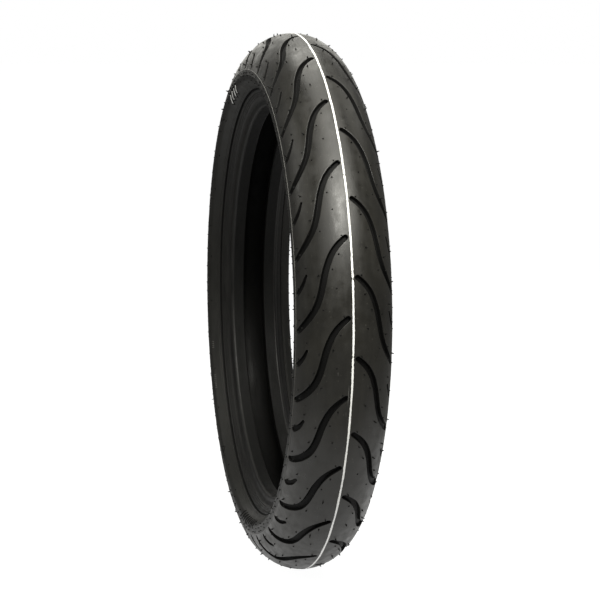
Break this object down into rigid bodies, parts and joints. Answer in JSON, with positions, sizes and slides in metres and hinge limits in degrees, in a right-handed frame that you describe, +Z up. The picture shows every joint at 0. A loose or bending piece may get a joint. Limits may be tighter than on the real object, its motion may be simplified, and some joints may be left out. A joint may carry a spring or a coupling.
{
  "type": "motorcycle tyre",
  "caption": "Bare tubeless front motorcycle tyre with a curved grooved tread, thin pale centre ring, two-ply casing and wire beads for a standard rim.",
  "frame": {"origin": "centre of the bounding box, where the axle line crosses the middle plane of the tyre", "axes": "+Y along the axle towards the right-hand side, +Z up, standing on the tread; +X is the side of the tread that faced the viewer"},
  "size_m": [0.592, 0.1004, 0.592],
  "materials": {
    "tread_rubber": "matt black with a faint sheen",
    "stripe_rubber": "matt off-white",
    "side_rubber": "smooth satin black",
    "base_rubber": "matt black",
    "belt_fabric": "rubberised woven cord",
    "ply_fabric": "rubberised parallel cord",
    "liner_rubber": "smooth black",
    "bead_rubber": "hard matt black",
    "bead_wire": "bronze-coated drawn steel"
  },
  "bodies": {
    "root": {"tread_cap": "tread_rubber", "centre_stripe": "stripe_rubber", "tread_base": "base_rubber", "outer_breaker": "belt_fabric", "inner_breaker": "belt_fabric", "outer_carcass_ply": "ply_fabric", "inner_carcass_ply": "ply_fabric", "inner_liner": "liner_rubber", "left_sidewall": "side_rubber", "left_shoulder_cushion": "base_rubber", "left_rim_strip": "side_rubber", "left_chafer": "belt_fabric", "left_bead_filler": "bead_rubber", "left_bead_wrap": "bead_rubber", "left_bead_core": "bead_wire", "right_sidewall": "side_rubber", "right_shoulder_cushion": "base_rubber", "right_rim_strip": "side_rubber", "right_chafer": "belt_fabric", "right_bead_filler": "bead_rubber", "right_bead_wrap": "bead_rubber", "right_bead_core": "bead_wire"}
  },
  "joints": []
}
